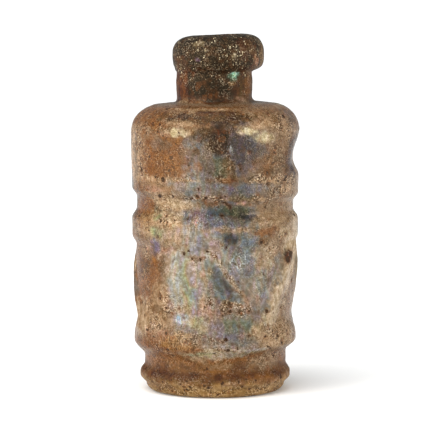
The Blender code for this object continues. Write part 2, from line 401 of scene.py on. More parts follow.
# Films in the colours of thin layers
PEWTER = Colour("8e8d8e", 0.8, 0.03, 0.1)
MIST = Colour("cac3ba", 0.8, 0.02, 0)
SLATE = Colour("5e6673", 0.8, 0.04, 0.1)
STEEL = Colour("75808c", 1, 0.04, 0)
SKY = Colour("bac6d2", 1, 0.04, 0)
NAVY = Colour("22282f", 1, 0, 0)
TEAL = Colour("767e70", 1, 0.06, 0)
MOSS = Colour("585e4c", 0.8, 0.08, 0)
LIME = Colour("bcbc92", 1, 0.02, 0)
LILAC = Colour("aa9ca0", 1, 0.02, 0)
VIOLET = Colour("806c86", 0.8, 0.04, 0)
ROSE = Colour("b48a72", 0.4, 0.15, 0.3)
PINK = Colour("cca896", 0.8, 0.04, 0)
TURQUOISE = Colour("8fccb6", 0.8, 0.3, 0)

# Broad colours of the whole bottle, each over the ones before it
GROUND = table(Stain,
    (0, 81.5, 60, 11, BISTRE, 1), (0, 73, 60, 4.5, UMBER, 1), (-2, 73.6, 9, 3.8, BISTRE, 0.95),
    (65, 73, 4, 5, TAUPE, 0.15), (0, 67.5, 80, 4.5, RUST, 0.7), (-5, 66.8, 14, 2, UMBER, 0.6),
    (10, 67, 9, 1.8, UMBER, 0.5), (-62, 66, 7, 4, RUST, 0.5), (50, 66.5, 9, 4, TAN, 0.6),
    (-38, 57, 13, 6, RUST, 1), (16, 57.5, 11, 7, PLUM, 0.9), (-10, 54.5, 4.5, 7.5, PEWTER, 0.8),
    (-74, 57, 5, 7, SAND, 0.8), (60, 57, 8, 6, BUFF, 0.8), (50, 56, 6, 5, UMBER, 0.45),
    (-45, 50, 10, 2, TAN, 0.35), (12, 50, 13, 2.2, TAUPE, 0.9), (-28, 45, 9, 2.6, TAN, 0.8),
    (10, 45, 11, 2.6, SLATE, 0.8), (-32, 39.5, 9, 2.4, TAN, 0.8), (8, 40, 10, 2.6, PEWTER, 0.9),
    (-16, 39, 5, 4, LILAC, 0.6), (-14, 27, 13, 9, MIST, 0.8), (-60, 26, 9, 10, RUST, 0.8),
    (-78, 28, 4, 12, RUST, 0.8), (-78, 46, 3, 3, UMBER, 0.5), (16, 26, 9, 9, PEWTER, 0.9),
    (60, 26, 8, 9, BUFF, 0.8), (-50, 13.5, 14, 3.5, RUST, 1), (-48, 12.5, 9, 2, UMBER, 0.25),
    (10, 15.5, 12, 3, PEWTER, 0.8), (50, 14.5, 9, 3, BUFF, 0.9), (0, 7, 60, 4, RUST, 0.9),
    (0, 5.6, 60, 2, UMBER, 0.5),
)

# Crumbled skin, which lies under the marks
CRUMBLED = table(Stain,
    (-64, 60, 1.6, 3, CRUMBS, 0.6), (-30, 65.8, 5, 0.8, CRUMBS, 0.5), (55, 63.5, 4, 3, CRUMBS, 0.5),
    (48, 57, 3.4, 3.2, CRUMBS, 0.5), (2, 60.5, 3, 2, CRUMBS, 0.25), (-4, 56.5, 1.5, 3.5, CRUMBS, 0.4),
    (7, 56, 1.6, 4, CRUMBS, 0.6), (55, 50.5, 5, 2.6, CRUMBS, 0.4), (-45, 52.2, 9, 0.5, CRUMBS, 0.8),
    (0, 47.6, 30, 0.3, CRUMBS, 0.5), (0, 4, 30, 0.35, SAND, 0.25), (46, 52, 8, 0.9, CRUMBS, 0.7),
    (8, 52.3, 4, 0.6, CRUMBS, 0.5), (-4, 47.4, 4, 0.7, CRUMBS, 0.6), (24, 47.6, 7, 0.8, CRUMBS, 0.7),
    (50, 44.5, 4, 1.6, CRUMBS, 0.6), (6, 40.4, 8, 0.6, CRUMBS, 0.7), (33, 34.5, 3.5, 2.6, CRUMBS, 0.4),
    (-16, 32.5, 2, 1.4, CRUMBS, 0.4), (-62, 32, 2, 3.4, CRUMBS, 0.3), (4, 23, 3.5, 1.5, CRUMBS, 0.4),
    (15, 21.5, 4, 1.6, CRUMBS, 0.5), (-40, 20.5, 3.5, 2, CRUMBS, 0.5), (40, 14, 3, 2, CRUMBS, 0.5),
    (-16, 14.5, 5, 1.6, CRUMBS, 0.4), (2, 11.6, 4, 0.8, CRUMBS, 0.5),
)

# Marks of each part, narrower than the ground
MARKS = table(Stain,
    # Rim and neck
    # The buff marks on the rim's sides make its edges lighter: painted light seen through the glass
    (-58, 78.8, 2.6, 2, BUFF, 0.15), (40, 82, 3, 2.6, BUFF, 0.15), (75, 80, 2, 3, BUFF, 0.4),
    # The small cream marks on the rim are painted glints, where the glints gather
    (56, 79.2, 0.9, 1, ROSE, 0.5), (-26, 83.4, 1.3, 0.7, CREAM, 0.25), (-27, 79.5, 0.8, 0.5, VIOLET, 0.6),
    (10, 78, 3.4, 0.7, BISTRE, 0.7), (19, 80.5, 0.5, 0.5, CREAM, 0.7), (-16, 81.8, 0.3, 0.3, CREAM, 0.8),
    (-12, 73.4, 4.6, 2.9, BISTRE, 0.8), (7, 72.8, 1, 1.2, BISTRE, 0.8), (-52, 73.5, 1.6, 3.4, RUST, 0.2),
    (60, 72.5, 1.2, 3, RUST, 0.4), (40, 72.8, 1.9, 2.4, OLIVE, 0.5), (-20, 70, 5, 1, RUST, 0.6),
    (4, 70, 4.5, 1.3, UMBER, 0.9), (-50, 69.2, 3, 0.6, TAN, 0.5), (26, 74, 1.1, 0.3, SAND, 0.5),
    (38, 69.8, 2.8, 0.7, ROSE, 0.5), (31, 75.5, 1.1, 1, TURQUOISE, 0.9),

    # Shoulder
    (-66, 67.5, 7, 1.2, RUST, 0.4), (-9, 68, 9.5, 0.5, TAN, 0.6), (-7, 66.2, 12, 1.4, OLIVE, 0.7),
    (-27, 66.8, 3.2, 1, BISTRE, 0.4), (45, 67.6, 4.5, 0.9, RUST, 0.4), (69, 65.8, 3.3, 2.4, PLUM, 0.5),
    # The rose, tan and cream marks from turn -35 to 35, at heights 61.5 to 63.2, are painted highlights: the
    # softboxes' reflections on the shoulder's corner
    (-24, 65, 3.7, 0.7, TAN, 0.7), (24, 64.2, 5.3, 0.6, TAN, 0.6), (-35, 62.5, 1.5, 0.7, ROSE, 0.8),
    (-25, 63, 2.6, 0.8, CREAM, 1), (-16, 63.2, 1.3, 0.5, TAN, 0.8), (-1, 62.8, 5, 1.6, BISTRE, 0.75),
    (23, 63.1, 3, 0.6, CREAM, 0.9), (35, 61.5, 3, 1.1, CREAM, 0.8), (54, 61, 4, 3, SAND, 0.35),

    # Upper wall
    (-42, 56, 9, 4.6, RUST, 0.6), (-36, 54, 8, 1.8, RUST, 0.6), (-70, 57, 4, 6, SAND, 0.4),
    (-69, 56.5, 0.9, 5.4, BISTRE, 0.7), (-40, 60.2, 3.1, 1.2, TAUPE, 0.5), (-7, 55.5, 2.4, 3.9, TAUPE, 0.8),
    (-11, 54.8, 1.2, 1, RUST, 0.8), (-13, 58.2, 0.7, 0.7, UMBER, 0.7), (17, 59, 5, 3.4, PLUM, 0.9),
    (3, 55.4, 2.4, 2.6, MOSS, 0.6, 20), (9, 55, 1.4, 3, OLIVE, 0.6, -10), (-3, 59.5, 2, 1.6, OLIVE, 0.5),
    (4, 53.6, 1.4, 1.4, MOSS, 0.5), (-14, 52.5, 2.4, 2.6, MIST, 0.4), (10, 59, 0.5, 1, SKY, 0.6),
    (35, 55.2, 3, 2.4, RUST, 0.5), (40, 57.2, 1.2, 1, UMBER, 0.7), (50, 59, 3, 4, UMBER, 0.35),
    # The umber and bistre marks from turn 64 to 76 are painted shade in the side dent
    (66, 56.6, 3.4, 4.4, UMBER, 0.9), (68, 57, 2.6, 4.4, BISTRE, 0.6), (64, 60.2, 1.5, 2, BISTRE, 0.4),
    (76, 59.5, 2.6, 2.2, BISTRE, 0.9),

    # Upper ribs and groove
    # The sand lines along rib 1's top edge, at turns -36 and 40, are crumbly crust with the edge's highlight
    # painted in
    (-36, 51.8, 8.3, 0.4, SAND, 0.8), (40, 51.5, 5, 0.7, SAND, 0.6), (7, 51.8, 1.9, 0.7, RUST, 0.8),
    (-32, 50.8, 3.4, 0.7, PEWTER, 0.7), (-7, 50.2, 3.4, 1.2, PEWTER, 0.8), (20, 49.8, 5.7, 1.2, SLATE, 0.7),
    (-50, 49.8, 7, 1.8, RUST, 0.4), (-50, 49, 3.8, 1, ROSE, 0.6), (-17, 48.8, 2, 0.7, STEEL, 0.6),
    (11, 50.2, 1.2, 0.5, VIOLET, 0.5), (-64, 45, 5.5, 2, RUST, 1), (-62, 43, 5, 4, ORANGE, 0.25),
    (-66, 44.6, 5, 1.8, UMBER, 0.35), (-66, 44.6, 4, 1.6, ORANGE, 0.3), (-46, 45, 1.4, 1.4, MOSS, 0.5),
    (-30, 45.8, 4.7, 1.4, SAND, 0.9), (-31, 46, 4, 1.2, IVORY, 0.7), (-3, 46.2, 1.4, 1, RUST, 0.9),
    (5, 46.5, 1, 0.7, MIST, 0.5), (19, 46.8, 1, 0.7, PINK, 0.9), (29, 47.5, 2.8, 0.5, SAND, 0.7),
    (43, 45.2, 5, 1.9, BUFF, 0.8), (-8, 43.2, 2.8, 1.9, VIOLET, 0.6), (-14, 43.8, 1.8, 1.4, VIOLET, 0.7),
    (2, 43.2, 3.6, 2.2, SLATE, 0.8), (9, 43, 4.6, 1.7, PLUM, 0.6), (0, 43.8, 2.4, 1.3, STEEL, 0.4),
    (11, 44.2, 2.2, 1.2, MOSS, 0.6), (19, 43.6, 2.6, 1.5, MOSS, 0.4), (22, 43.8, 1.3, 1.5, NAVY, 0.5),
    (-63, 43, 3.2, 0.7, UMBER, 0.7), (-56, 42, 4, 2.6, AMBER, 0.4), (-44, 41.5, 2.2, 1.2, SAND, 0.5),
    (-45, 42.8, 1, 1, LIME, 0.7), (-43, 39.2, 1.7, 1.2, LIME, 0.8), (-30, 41.5, 2.8, 1.4, SAND, 0.9),
    # The cream mark at turn -30, height 41 is a painted highlight
    (-30, 41, 1.1, 0.5, CREAM, 0.8), (-20, 43.2, 1, 1, STEEL, 0.9), (-13, 42, 0.7, 1.4, PINK, 0.6),
    (7, 41.5, 5.3, 1.4, SLATE, 0.8), (17, 42, 2, 0.7, MOSS, 0.5), (46, 42, 5.5, 2.4, TAN, 0.8),
    (55, 41, 1.6, 1, UMBER, 0.4), (7, 40.2, 6.8, 0.6, SAND, 0.45), (38, 39.4, 3.6, 0.9, RUST, 0.8),
    (36, 39.6, 2.6, 0.7, ORANGE, 0.4),

    # Zigzag
    (-40, 32, 2.2, 3.4, BUFF, 0.8), (-42, 35, 1.8, 1.6, ROSE, 0.6), (-52, 25.5, 2.6, 5, RUST, 0.5),
    (-47, 36, 1.6, 2.2, LILAC, 0.9), (-48, 35.6, 1.1, 2, VIOLET, 0.8), (-55, 34.8, 1, 1.6, PINK, 0.8),
    (-50, 32, 1.1, 1.2, ORANGE, 0.8), (-54, 31.6, 2.2, 2.4, OLIVE, 0.4), (-29, 36.5, 3.9, 1.7, TAN, 0.7),
    (-34, 35, 2.1, 1.2, PINK, 0.5), (-30, 27.8, 2.5, 5.3, MIST, 0.7), (-20, 28, 1.1, 7.5, LIME, 0.7),
    (-12, 23.5, 1.4, 4.5, LILAC, 0.6), (-16, 24.2, 0.8, 4.6, SKY, 0.45), (-13, 20.5, 0.8, 1.8, VIOLET, 0.4),
    (-10, 25.5, 1.2, 6.7, PINK, 0.8), (-8, 21.5, 1.2, 2.2, ROSE, 0.6), (-10, 37.2, 3.2, 2.4, LILAC, 0.8),
    (-9, 36.8, 2.6, 2, VIOLET, 0.5), (-12, 33.8, 3, 0.6, RUST, 0.7), (-2, 34.2, 1, 1, MIST, 0.7),
    (-3, 32, 1, 1.4, TEAL, 0.5), (-4, 30.8, 0.7, 1, AMBER, 0.8), (5, 28, 1.1, 5, SLATE, 0.7, -31),
    (9, 26.6, 0.6, 2.8, NAVY, 0.6, -31), (1, 27.6, 0.6, 3.4, MOSS, 0.6, -31),
    (-2, 25.6, 0.6, 3, ROSE, 0.5, -25), (7, 23.8, 1.4, 1.2, STEEL, 0.6),
    (11, 37.8, 1.6, 1.8, NAVY, 0.8, -20), (24, 37.2, 2.4, 1.4, STEEL, 0.8), (26, 35.5, 2.1, 0.7, SKY, 0.7),
    (9, 35.5, 2, 1.4, PEWTER, 0.6), (17, 32.2, 2.5, 1.7, MIST, 0.8), (29, 34.5, 2.8, 2.6, PEWTER, 0.8),
    (25, 30, 1.3, 1.2, VIOLET, 0.7), (21, 28, 3.4, 3.4, TAUPE, 0.7), (19, 33.5, 4.6, 4.4, STEEL, 0.5),
    # The cream mark at turn 42, height 32.2 is a painted highlight
    (33, 28, 2.6, 4.4, PEWTER, 0.7), (39, 34.5, 3.2, 2.4, FAWN, 0.6), (42, 32.2, 1, 1.2, CREAM, 0.5),
    (37, 28, 2.4, 5, MIST, 0.5, 20), (9, 29.5, 0.6, 8, FAWN, 0.5, -33.8),
    (9, 29.5, 0.5, 8, CRUMBS, 0.3, -33.8), (44, 26, 3, 9, PEWTER, 0.85, 33.8),
    # The ivory marks from turn 39 to 73 are painted highlights, lighting the right ridge's crest and broad
    # flank, and the thin umber mark at turn 50 is painted shade on its steep flank
    (61, 27.5, 3.2, 13, IVORY, 0.85, 33.8), (73, 37.5, 2.6, 6, IVORY, 0.7, 14),
    (65, 37, 2.4, 4.6, IVORY, 0.7, 14), (39, 17, 3, 2.4, IVORY, 0.6), (50, 27.5, 0.5, 10, UMBER, 0.4, 33.8),
    (64, 32.8, 1.6, 1.6, BISTRE, 1, 30), (80, 29, 0.8, 6, UMBER, 0.4), (74, 22, 1.4, 4, RUST, 0.5),
    (-40, 22.5, 1.2, 5, SAND, 0.6, 20), (-48, 28, 2.6, 4, RUST, 0.7), (-44, 19.5, 2.2, 1.8, SAND, 0.5),
    (27, 23, 2.7, 1.7, ROSE, 0.4), (5, 24.2, 1.9, 1, STEEL, 0.6), (14, 20.8, 6, 0.5, UMBER, 0.5),
    (10, 23, 2, 0.7, SAND, 0.5), (0, 19.5, 1.9, 1.7, ROSE, 0.5), (19, 17.8, 3.4, 2, TEAL, 0.55),
    (13, 15.2, 3, 1, VIOLET, 0.4), (-24, 21, 2.4, 1.6, TAN, 0.4), (-26, 18.8, 2.2, 1.3, SKY, 0.9),
    (-13, 18.5, 1.5, 1.4, LIME, 0.9), (-52, 20, 3.4, 3.2, SAND, 0.7), (-48, 17, 4, 3, TAN, 0.5),
    (-46, 15.8, 3.1, 2.2, PINK, 0.5), (-39, 17.5, 0.5, 1.7, UMBER, 0.7), (-46, 21, 1.7, 1, UMBER, 0.6),
    # The ivory mark at turn 43 is a painted highlight on the right ridge
    (43, 19, 2.4, 3, IVORY, 0.35, 33.8), (-12, 29, 3.5, 5, MIST, 0.3), (-41, 31.5, 0.9, 3, UMBER, 0.6, 8),
    (-36, 30, 1.4, 3.6, FAWN, 0.4, 8),

    # Base
    (-26, 14.8, 2.7, 1.4, AMBER, 0.4), (14, 12.8, 6, 0.7, LILAC, 0.4), (14, 10.9, 7, 0.7, LIME, 0.5),
    (30, 16.5, 3.6, 2.6, TEAL, 0.35), (-40, 13, 7, 1.8, RUST, 0.5), (-28, 12.8, 4, 1.4, AMBER, 0.3),
    (-2, 11.5, 2.2, 0.7, CREAM, 0.6), (-12, 11.5, 1.7, 1, RUST, 0.7), (22, 11.5, 5.2, 0.7, MIST, 0.6),
    (56, 13, 5.5, 2.4, TAN, 0.8), (-3, 10.4, 7, 1.6, TAN, 1), (2, 10.6, 5, 1.2, MIST, 0.4),
    (-8, 10.8, 3, 0.9, LIME, 0.5), (0, 7.8, 9, 1, UMBER, 0.6), (0, 1.4, 60, 2.6, AMBER, 0.9),
    (-50, 1.8, 8, 2.2, OLIVE, 0.25), (46, 8.4, 5, 2.2, BUFF, 0.8), (-19, 5, 13, 1.2, UMBER, 0.6),
    (41, 4.5, 5.1, 1.2, RUST, 0.7), (-49, 2.2, 5.9, 1, RUST, 0.4), (48, 1.8, 6, 1.6, SAND, 0.3),

    # Last touches, over all the other marks
    # The bistre marks at heights 69.8 and 70.2 are painted shade, where the neck's foot meets the shoulder
    (4, 80, 8, 4, BISTRE, 0.4), (-2, 73, 7, 3, BISTRE, 0.45), (-10, 70.2, 5, 0.8, BISTRE, 0.7),
    (18, 69.8, 3, 1, BISTRE, 0.6), (4, 67.5, 3, 0.8, BISTRE, 0.4), (18, 66.4, 3, 0.8, BISTRE, 0.4),
    (4, 64.9, 4, 0.9, BISTRE, 0.5), (-27, 67.8, 4, 0.8, TAN, 0.4), (-27, 65.2, 3.4, 0.9, SAND, 0.5),
    (36, 64.6, 3, 0.9, SAND, 0.6), (4, 60.2, 2.4, 2.8, BISTRE, 0.75), (57, 54.2, 3.5, 2.4, UMBER, 0.45),
    (36, 53.2, 3, 1.6, UMBER, 0.35), (18, 52.2, 3, 0.8, UMBER, 0.45), (4, 51.5, 2.4, 0.8, UMBER, 0.4),
    (-43, 51.2, 5, 0.9, SAND, 0.35), (-64, 57, 4, 5, SAND, 0.3), (57, 49.7, 3, 0.8, SAND, 0.6),
    (36, 48.4, 3, 0.8, UMBER, 0.4), (18, 47.8, 3, 1.2, MOSS, 0.5), (-66, 47.5, 4, 2.5, RUST, 0.7),
    (-66, 47, 4, 2, UMBER, 0.3), (-43, 46.5, 3, 1.6, SAND, 0.5), (-11, 46.8, 4, 2.2, MIST, 0.3),
    (4, 46.5, 2.5, 0.8, UMBER, 0.5), (15, 45, 4.6, 0.9, MOSS, 0.7), (3, 44.2, 2.4, 0.8, NAVY, 0.35),
    (57, 44, 3, 2, TAN, 0.4), (6, 41.6, 4, 1.3, TAUPE, 0.4), (-29, 42.8, 2.6, 1.2, IVORY, 0.5),
    (-20, 42.6, 1, 1.1, STEEL, 0.7), (-43, 40, 2, 1.2, BUFF, 0.5), (-48, 39.2, 1.3, 1.1, LIME, 0.7),
    # The ivory mark at turn 57 is a painted highlight on the right ridge
    (-66, 44.8, 5, 2, RUST, 0.7), (-11, 38.5, 3.5, 3, MIST, 0.35), (57, 38.9, 2.5, 1, IVORY, 0.6),
    (36, 38.8, 3, 2, UMBER, 0.25), (4, 34.5, 2.5, 2.6, MIST, 0.3), (-28, 33.8, 3, 2.5, MIST, 0.4),
    (36, 31.3, 2, 1.2, SAND, 0.5), (18, 31, 2.5, 1.6, TAUPE, 0.4), (-66, 30.5, 3.5, 2.4, UMBER, 0.5),
    (-44, 25, 2.4, 3, TAN, 0.6), (60, 23.5, 2, 3, BUFF, 0.7, 33.8), (-66, 18, 4, 5, FAWN, 0.7),
    (4, 18.8, 2.5, 1.2, TEAL, 0.6), (-43, 17.3, 1.6, 1, SAND, 0.6), (-11, 16.8, 2, 1, CREAM, 0.3),
    (-16, 18.4, 3, 1.8, BUFF, 0.35), (57, 16, 3.5, 2.5, TAN, 0.5), (36, 15.8, 3.5, 2, SAND, 0.5),
    (18, 13.7, 3, 0.8, SLATE, 0.5), (18, 10.4, 3, 0.8, MIST, 0.4), (4, 7.8, 3, 0.8, TAN, 0.4),
    (-40, 5.5, 9, 2, UMBER, 0.25), (40, 5.5, 9, 2, UMBER, 0.2),
)

# The rest of the way round, stains fall by chance: broad ones, then smaller ones
Scatter = namedtuple("Scatter", "count size seed")
BROAD_SCATTER = Scatter(46, 5.0, 31)
SMALL_SCATTER = Scatter(150, 1.6, 29)
SCATTER_FROM = 82.0
SCATTER_HEIGHTS = (7.0, 69.0)
SCATTER_STRENGTHS = (0.5, 0.9)
SCATTER_TILT = 30.0
SCATTER_COLOURS = (
    RUST, RUST, UMBER, TAN, BUFF, SAND, TAUPE, PLUM, PEWTER, MIST, SLATE, STEEL, LIME, LILAC, ROSE,
)
SIZE_SPREAD = 0.5

# Low bumps and hollows of the wall
BUMPS = table(Bump,
    (-10, 68.3, 10, 0.7, 0.25), (-8, 66.4, 12, 1.2, -0.25), (14, 57.5, 5, 3.5, -0.2),
    (-4, 56, 2.5, 3.5, 0.15), (-25, 28, 1.4, 8, 0.16), (-16, 26, 1.1, 8, -0.14), (-9, 26, 1, 7, 0.14),
    (3, 28.5, 1.4, 5, -0.16, -20), (18, 34, 3.4, 2.6, -0.16), (-26, 18.8, 2.2, 1.3, -0.25),
    (-46, 36.5, 1.2, 2.6, -0.2), (17, 17.5, 4, 1.8, -0.15),
)

# Places where more painted glints lie than elsewhere
GLEAMS = table(Gleam,
    (16, 32.5, 2.8, 2.2, 0.8, -30), (-12, 42.6, 2.4, 1.6, 0.8), (4, 42, 3, 1.4, 0.4),
    (10, 59, 1.6, 1.8, 0.6), (30, 65, 5, 1.6, 0.4), (-26, 18.8, 2, 1.2, 0.5), (24, 37, 2, 1.4, 0.4),
)

# The larger pits, and then how the others fall by chance
PITS = table(Pit,
    (65.5, 33.4, 0.8, 0.25), (61.5, 32.2, 0.75, 0.25), (-16, 33.3, 0.26, 0.12), (-10, 33.3, 0.32, 0.14),
    (11, 21, 0.35, 0.15), (-11, 49.8, 0.32, 0.14), (-5, 2.8, 0.38, 0.1), (-44, 3.4, 0.32, 0.1),
    (54, 3, 0.4, 0.1), (29, 2, 0.35, 0.1), (-58, 4.6, 0.3, 0.1), (-35, 4.3, 0.28, 0.1),
    (-22, 4.2, 0.3, 0.1), (6, 4, 0.28, 0.1), (18, 4.1, 0.3, 0.1), (32, 4.3, 0.28, 0.1),
    (60, 4.4, 0.35, 0.1), (-26, 1.8, 0.3, 0.1),
)
PIT_COUNT = 380
PIT_RADIUS = 0.25
PIT_RADIUS_SPREAD = 0.35
PIT_DEPTH = 0.45
PIT_HEIGHTS = (0.8, 70.0)
PIT_STRAY = 0.6
PIT_RAGGEDNESS = 0.25
PIT_EDGE = 1.6
PIT_RING_EDGE = 2.2
PIT_RING_FADE = 1.2
PIT_RING_STRENGTH = 0.35
PIT_RING_COLOUR = "96562a"
PITTED_EDGES = (62.5, 52.4, 47.5, 42.2, 36.8, 20.5, 14.6, 11.6, 4.9, 3.0)

# How the ground's and the marks' edges wander
Wander = namedtuple("Wander", "ragged sway rise size seed softness")
BROAD_WANDER = Wander(0.4, 2.0, 1.5, 7.0, 21, 0.6)
NARROW_WANDER = Wander(0.5, 0.7, 0.6, 2.2, 23, 0.5)
FILM_SOFTNESS = 0.5

# Clouds in the colours, strongest in blue, and calmer in film and on the neck
FINE_MOTTLE = 0.47
BROAD_MOTTLE = 0.24
MOTTLE_TONE = (0.87, 1.0, 1.25)
FILM_CALM = 0.4
NECK_CALM = 0.5

# Gloss adds light to every colour, so the colours are made that much darker
GLOSS = 0.025
DARKEST = 0.25
TINT_STRENGTH = 0.6

# Crust on the neck, at the base and on the zigzag's crests, painted glints on the rim, and flecks and
# clearness
NECK_STEP = (69.0, 72.0)
BASE_STEP = (9.0, 5.0)
RIM_STEP = (72.5, 77.0)
CREST_CRUST_WIDTH = 3.0
LEAST_CRUST = 0.1
FULLER_CRUST = 0.6
RIM_GLINTS = 0.8
FLECK_LEVEL = 0.75
FLECK_VARIATION = 1.8
CLEARNESS = 0.3

# Height of waves, ripples and crumbled skin, which die away towards the lip and the foot
WAVES = 0.1
RIPPLES = 0.05
CRUMBLING = 0.1
LIP_MARGIN = 2.0
FOOT_MARGIN = 1.5


def linear(code):
    """A colour written as six hexadecimal sRGB digits, in linear light."""
    srgb = np.array([int(code[place:place + 2], 16) / 255.0 for place in (0, 2, 4)])
    return np.where(srgb <= 0.04045, srgb / 12.92, ((srgb + 0.055) / 1.055) ** 2.4)


def clouds(points, size, seed, octaves=3):
    """Soft noise of one typical size at each point, mostly between -1 and 1."""
    offset = Vector((seed * 17.3, seed * 5.1, seed * 9.7))
    return np.array([noise.fractal(Vector(point) / size + offset, 1.0, 2.0, octaves) for point in points])


def along_at(surface, height):
    """Distance down the outer side at a height on it, below the rim's widest place."""
    outer = np.flatnonzero((surface.side[:-2:COLUMNS] == OUTSIDE)) * COLUMNS
    wall = outer[surface.along[outer] > surface.along[outer][np.argmax(surface.height[outer])]]
    return np.interp(-height, -surface.height[wall], surface.along[wall])


def reach(surface, turn, height):
    """Distances right and up along the outer surface, from a place on it to each point."""
    right = np.radians((surface.turn - turn + 180.0) % 360.0 - 180.0) * surface.radius
    return right, along_at(surface, height) - surface.along


def patch(surface, place, edge):
    """How fully each point lies in a stain or bump. An edge makes it ragged, and its shape wander."""
    right, up = reach(surface, place.turn, place.height)
    right = right + edge.sway
    up = up + edge.rise
    lean = np.radians(place.tilt)
    across = (right * np.cos(lean) - up * np.sin(lean)) / place.wide
    upward = (right * np.sin(lean) + up * np.cos(lean)) / place.tall
    beyond = np.hypot(across, upward) + edge.ragged - 1.0
    return (1.0 - smooth(0.5 + beyond / edge.softness)) * (surface.side == OUTSIDE)


def scattered_stains(scatter):
    """Stains by chance on the sides and the back."""
    draw = np.random.default_rng(scatter.seed)
    for _ in range(scatter.count):
        yield Stain(
            draw.uniform(SCATTER_FROM, 360.0 - SCATTER_FROM),
            draw.uniform(*SCATTER_HEIGHTS),
            scatter.size * draw.lognormal(0.0, SIZE_SPREAD),
            scatter.size * draw.lognormal(0.0, SIZE_SPREAD),
            SCATTER_COLOURS[draw.integers(len(SCATTER_COLOURS))],
            draw.uniform(*SCATTER_STRENGTHS),
            draw.uniform(-SCATTER_TILT, SCATTER_TILT),
        )


def all_pits():
    """The named pits, then others by chance: every other one near the edge of a rib or groove."""
    yield from PITS
    draw = np.random.default_rng(seed=12)
    for number in range(PIT_COUNT):
        radius = PIT_RADIUS * draw.lognormal(0.0, PIT_RADIUS_SPREAD)
        height = draw.uniform(*PIT_HEIGHTS)
        if number % 2:
            height = draw.choice(PITTED_EDGES) + draw.normal(0.0, PIT_STRAY)
        yield Pit(draw.uniform(-180.0, 180.0), height, radius, PIT_DEPTH * radius)


def wandering_edge(points, ragged, wander):
    """A ragged edge, which clouds of one typical size push sideways and up or down."""
    sway = wander.sway * clouds(points, wander.size, wander.seed)
    rise = wander.rise * clouds(points, wander.size, wander.seed + 1)
    return Edge(wander.ragged * ragged, sway, rise, wander.softness)


def past(step, height):
    """How far each height lies along a step from its start to its end."""
    start, end = step
    return smooth((height - start) / (end - start))


def stained(surface, broad, narrow):
    """Lay every stain, and give each point's colour and its shares of film, flecks and rust."""
    tint = np.tile(linear(BUFF.code), (len(surface.points), 1))
    kinds = np.tile(BUFF[1:], (len(surface.points), 1))
    layers = (
        (scattered_stains(BROAD_SCATTER), broad),
        (GROUND, broad),
        (scattered_stains(SMALL_SCATTER), narrow),
        (CRUMBLED, narrow),
        (MARKS, narrow),
    )
    for layer, edge in layers:
        for stain in layer:
            blurred = edge._replace(softness=edge.softness + FILM_SOFTNESS * stain.colour.film)
            weight = stain.strength * patch(surface, stain, blurred)[:, None]
            tint += (linear(stain.colour.code) - tint) * weight
            kinds += (np.array(stain.colour[1:]) - kinds) * weight
    return tint, kinds.T


def pitted(surface, tint, ragged):
    """Ring every pit with rust, in the tint itself, and give each point's share of a pit and its depth."""
    outer = surface.side == OUTSIDE
    pits = np.zeros(len(tint))
    sunk = np.zeros(len(tint))
    for pit in all_pits():
        right, up = reach(surface, pit.turn, pit.height)
        away = np.hypot(right, up) / pit.radius + PIT_RAGGEDNESS * ragged
        core = smooth(PIT_EDGE - away) * outer
        ring = smooth((PIT_RING_EDGE - away) / PIT_RING_FADE) * outer
        tint += (linear(PIT_RING_COLOUR) - tint) * (PIT_RING_STRENGTH * ring)[:, None]
        pits = np.maximum(pits, core)
        sunk = np.maximum(sunk, pit.depth * core)
    return pits, sunk


def paint(surface):
    """Colour of every point, its shares of what lies on the glass, and how far its pits sink."""
    points = surface.points
    outer = surface.side == OUTSIDE
    high = past(NECK_STEP, surface.height)
    low = past(BASE_STEP, surface.height)
    fine_ragged = clouds(points, 1.2, 2, octaves=2)
    broad = wandering_edge(points, clouds(points, 2.0, 1), BROAD_WANDER)
    narrow = wandering_edge(points, fine_ragged, NARROW_WANDER)

    tint, (film, flecks, rust) = stained(surface, broad, narrow)
    mottle = FINE_MOTTLE * clouds(points, 1.6, 3) + BROAD_MOTTLE * clouds(points, 5.0, 8)
    mottle *= (1.0 - FILM_CALM * film) * (1.0 - NECK_CALM * high)
    tint *= 1.0 + mottle[:, None] * np.array(MOTTLE_TONE)
    pits, sunk = pitted(surface, tint, fine_ragged)

    beside, _ = beside_crest(surface.turn, surface.height)
    flat_crest = np.exp(-((beside / CREST_CRUST_WIDTH) ** 2)) * zigzag_share(surface.height) * outer
    glints = RIM_GLINTS * past(RIM_STEP, surface.height)
    for gleam in GLEAMS:
        glints = np.maximum(glints, gleam.amount * patch(surface, gleam, narrow))
    shares = {
        "film": film,
        "flecks": flecks * (FLECK_LEVEL + FLECK_VARIATION * clouds(points, 2.5, 4)),
        "glints": glints,
        "rust": rust,
        "pits": pits,
        "crust": np.maximum(LEAST_CRUST + FULLER_CRUST * (high + low), flat_crest),
        "clear": CLEARNESS * (1.0 - high) * outer,
    }
    return np.maximum(tint - GLOSS, DARKEST * tint) * TINT_STRENGTH, shares, sunk


def weathered_relief(surface, flecks, sunk):
    """How far each point stands out of the moulded shape."""
    relief = WAVES * clouds(surface.points, 6.0, 5) + RIPPLES * clouds(surface.points, 1.5, 6)
    for bump in BUMPS:
        relief += bump.rise * patch(surface, bump, SMOOTH_EDGE)
    relief += CRUMBLING * flecks * clouds(surface.points, 0.9, 7)
    relief = (relief - sunk) * (surface.side == OUTSIDE) * smooth(surface.along / LIP_MARGIN)
    return relief * smooth(surface.height / FOOT_MARGIN)


